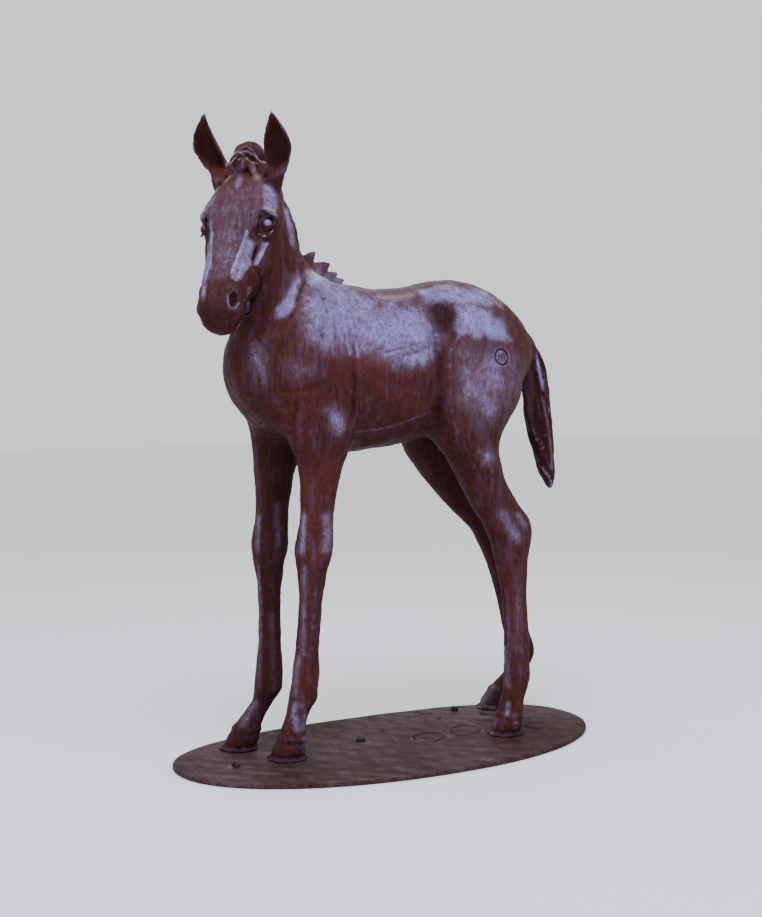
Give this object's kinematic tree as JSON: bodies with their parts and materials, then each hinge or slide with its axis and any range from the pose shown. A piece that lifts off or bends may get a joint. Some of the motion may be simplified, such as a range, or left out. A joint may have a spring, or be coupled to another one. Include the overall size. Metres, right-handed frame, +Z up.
{
  "type": "cast iron foal sculpture",
  "caption": "Life-size cast iron foal standing with its head turned, on a thin oval iron plate, for a garden or a hall.",
  "frame": {"origin": "centre of the footprint of the whole sculpture, on the underside of its plate", "axes": "+Z up, -X the way the foal's body faces, +X towards its tail, -Y its left side"},
  "size_m": [1.01, 0.5, 1.3507],
  "materials": {
    "foal_iron": "waxed red-brown rusted cast iron with a bluish sheen",
    "plate_iron": "rusted iron plate, duller and a little mauve",
    "stud_iron": "dark rusted iron stud ends"
  },
  "bodies": {
    "root": {"foal": "foal_iron", "base_plate": "plate_iron", "plate_stud_1": "stud_iron", "plate_stud_2": "stud_iron", "plate_stud_3": "stud_iron"}
  },
  "joints": []
}
